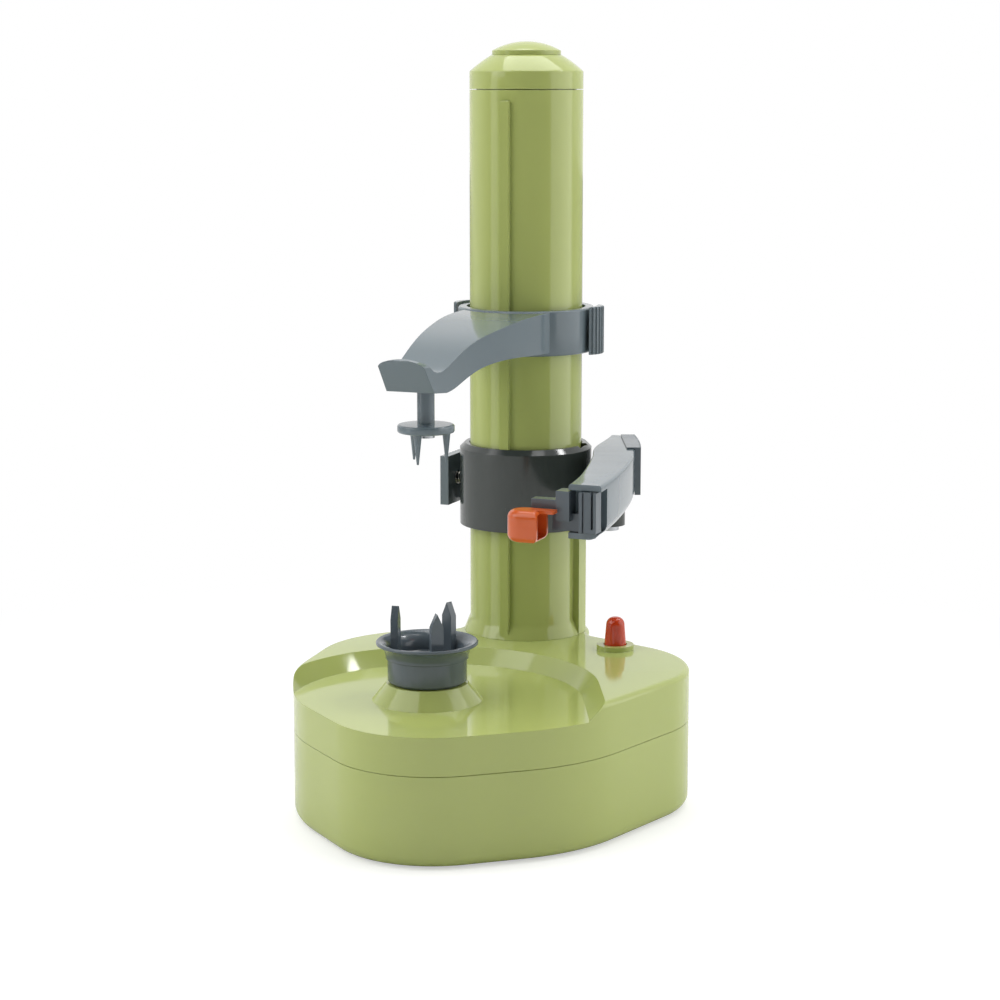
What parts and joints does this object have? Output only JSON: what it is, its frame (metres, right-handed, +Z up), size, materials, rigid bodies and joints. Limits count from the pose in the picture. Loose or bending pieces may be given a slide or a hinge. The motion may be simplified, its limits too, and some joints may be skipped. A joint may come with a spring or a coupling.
{
  "type": "electric potato peeler",
  "caption": "Upright electric peeler: a turning food hub on a round base, a geared column with a sliding top holder and a sprung peeling arm.",
  "frame": {"origin": "under the middle of the whole outline, on the surface that the feet stand on", "axes": "+Z up along the column, -Y toward the food hub and tray, +X toward the start button and the peeling arm"},
  "size_m": [0.146, 0.1795, 0.2905],
  "materials": {
    "green_plastic": "glossy moulded",
    "slate_plastic": "glossy moulded",
    "charcoal_plastic": "satin moulded",
    "light_grey_plastic": "glossy moulded",
    "red_plastic": "glossy moulded",
    "orange_plastic": "satin moulded",
    "white_plastic": "moulded gear plastic",
    "black_plastic": "moulded",
    "soft_rubber": "matt",
    "steel": "plated",
    "blade_steel": "ground",
    "spring_steel": "drawn wire",
    "motor_steel": "plated",
    "brass": "plain",
    "cell_wrap": "printed sleeve without lettering"
  },
  "bodies": {
    "base": {"base_lower_shell": "green_plastic", "base_upper_shell": "green_plastic", "battery_door": "green_plastic", "battery_cells": "cell_wrap", "battery_contacts": "spring_steel", "rubber_feet": "soft_rubber", "base_screws": "steel", "dc_inlet": "black_plastic", "button_spring": "spring_steel", "start_switch": "black_plastic", "gear_plate_upper": "black_plastic", "gear_plate_lower": "black_plastic", "plate_screws": "steel", "gear_axles": "steel", "motor_body": "motor_steel", "motor_bracket": "steel", "spindle_bush": "brass", "column_tube": "green_plastic", "column_screws": "steel", "screw_foot_bush": "white_plastic", "screw_top_bush": "white_plastic", "column_cap": "green_plastic", "cap_plug": "green_plastic"},
    "start_button": {"start_button": "red_plastic"},
    "food_spindle": {"spindle_shaft": "steel", "spindle_gear": "white_plastic", "food_hub": "charcoal_plastic"},
    "second_gear": {"second_compound_gear": "white_plastic"},
    "first_gear": {"first_compound_gear": "white_plastic"},
    "pinion": {"motor_pinion": "brass"},
    "front_idler": {"idler_gear_front": "white_plastic"},
    "rear_idler": {"idler_gear_rear": "white_plastic"},
    "screw": {"screw_gear": "white_plastic", "lead_screw": "white_plastic"},
    "upper_arm": {"upper_arm": "slate_plastic", "holder_screw": "steel", "pad_spring_right": "spring_steel", "pad_spring_left": "spring_steel"},
    "right_pad": {"upper_pad_right": "charcoal_plastic"},
    "left_pad": {"upper_pad_left": "charcoal_plastic"},
    "top_holder": {"top_holder": "slate_plastic"},
    "carriage": {"carriage_ring": "charcoal_plastic", "lever_pin": "steel", "lever_spring": "spring_steel", "arm_spring": "spring_steel"},
    "nut_lever": {"nut_lever": "slate_plastic", "half_nut": "white_plastic"},
    "peeling_arm": {"peeling_arm": "light_grey_plastic", "tail_grip": "charcoal_plastic", "arm_pivot_pin": "steel", "head_pin": "steel"},
    "blade_head": {"blade_bracket": "charcoal_plastic", "blade_holder": "orange_plastic", "steel_blade": "blade_steel"}
  },
  "joints": [
    {"name": "button_press", "type": "slide", "parent": "base", "child": "start_button", "axis": [0, 0, -1], "range_m": [0, 0.0025], "stiffness_N_per_m": 300, "springref_m": -0.002, "deforming": ["button_spring"]},
    {"name": "food_spin", "type": "hinge", "parent": "base", "child": "food_spindle", "pos_m": [-0.01115, -0.0371, 0.06], "axis": [0, 0, 1], "continuous": true},
    {"name": "second_gear_spin", "type": "hinge", "parent": "base", "child": "second_gear", "pos_m": [0.0106, -0.02696, 0.03], "axis": [0, 0, 1], "continuous": true},
    {"name": "first_gear_spin", "type": "hinge", "parent": "base", "child": "first_gear", "pos_m": [0.02187, -0.00577, 0.035], "axis": [0, 0, 1], "continuous": true},
    {"name": "pinion_spin", "type": "hinge", "parent": "base", "child": "pinion", "pos_m": [0.02507, 0.01701, 0.036], "axis": [0, 0, 1], "continuous": true},
    {"name": "front_idler_spin", "type": "hinge", "parent": "base", "child": "front_idler", "pos_m": [-0.01115, -0.0031, 0.026], "axis": [0, 0, 1], "continuous": true},
    {"name": "rear_idler_spin", "type": "hinge", "parent": "base", "child": "rear_idler", "pos_m": [-0.01115, 0.0289, 0.026], "axis": [0, 0, 1], "continuous": true},
    {"name": "screw_spin", "type": "hinge", "parent": "base", "child": "screw", "pos_m": [-0.01115, 0.0629, 0.06], "axis": [0, 0, 1], "continuous": true},
    {"name": "upper_arm_slide", "type": "slide", "parent": "base", "child": "upper_arm", "axis": [0, 0, 1], "range_m": [-0.03, 0.07]},
    {"name": "right_pad_press", "type": "slide", "parent": "upper_arm", "child": "right_pad", "axis": [-1, 0, 0], "range_m": [0, 0.0012], "stiffness_N_per_m": 400, "springref_m": -0.002, "deforming": ["pad_spring_right"]},
    {"name": "left_pad_press", "type": "slide", "parent": "upper_arm", "child": "left_pad", "axis": [1, 0, 0], "range_m": [0, 0.0012], "stiffness_N_per_m": 400, "springref_m": -0.002, "deforming": ["pad_spring_left"]},
    {"name": "top_holder_spin", "type": "hinge", "parent": "upper_arm", "child": "top_holder", "pos_m": [-0.01115, -0.0371, 0.15], "axis": [0, 0, 1], "continuous": true},
    {"name": "carriage_slide", "type": "slide", "parent": "base", "child": "carriage", "axis": [0, 0, 1], "range_m": [-0.028, 0.036]},
    {"name": "nut_lever_press", "type": "hinge", "parent": "carriage", "child": "nut_lever", "pos_m": [-0.03515, 0.0843, 0.115], "axis": [0, 0, 1], "range_deg": [0, 5], "stiffness_Nm_per_rad": 0.8, "springref_deg": -5.73, "deforming": ["lever_spring"]},
    {"name": "peeling_arm_swing", "type": "hinge", "parent": "carriage", "child": "peeling_arm", "pos_m": [0.02385, 0.0649, 0.122], "axis": [0, 0, 1], "range_deg": [-10, 15], "stiffness_Nm_per_rad": 0.6},
    {"name": "blade_head_swing", "type": "hinge", "parent": "peeling_arm", "child": "blade_head", "pos_m": [0.04995, -0.0267, 0.122], "axis": [0, 0, 1], "range_deg": [-8, 8]}
  ],
  "couplings": [
    {"joint": "second_gear_spin", "follows": "food_spin", "ratio": -3},
    {"joint": "first_gear_spin", "follows": "food_spin", "ratio": 9},
    {"joint": "pinion_spin", "follows": "food_spin", "ratio": -32.4},
    {"joint": "front_idler_spin", "follows": "food_spin", "ratio": -1.125},
    {"joint": "rear_idler_spin", "follows": "food_spin", "ratio": 1.125},
    {"joint": "screw_spin", "follows": "food_spin", "ratio": -1}
  ]
}
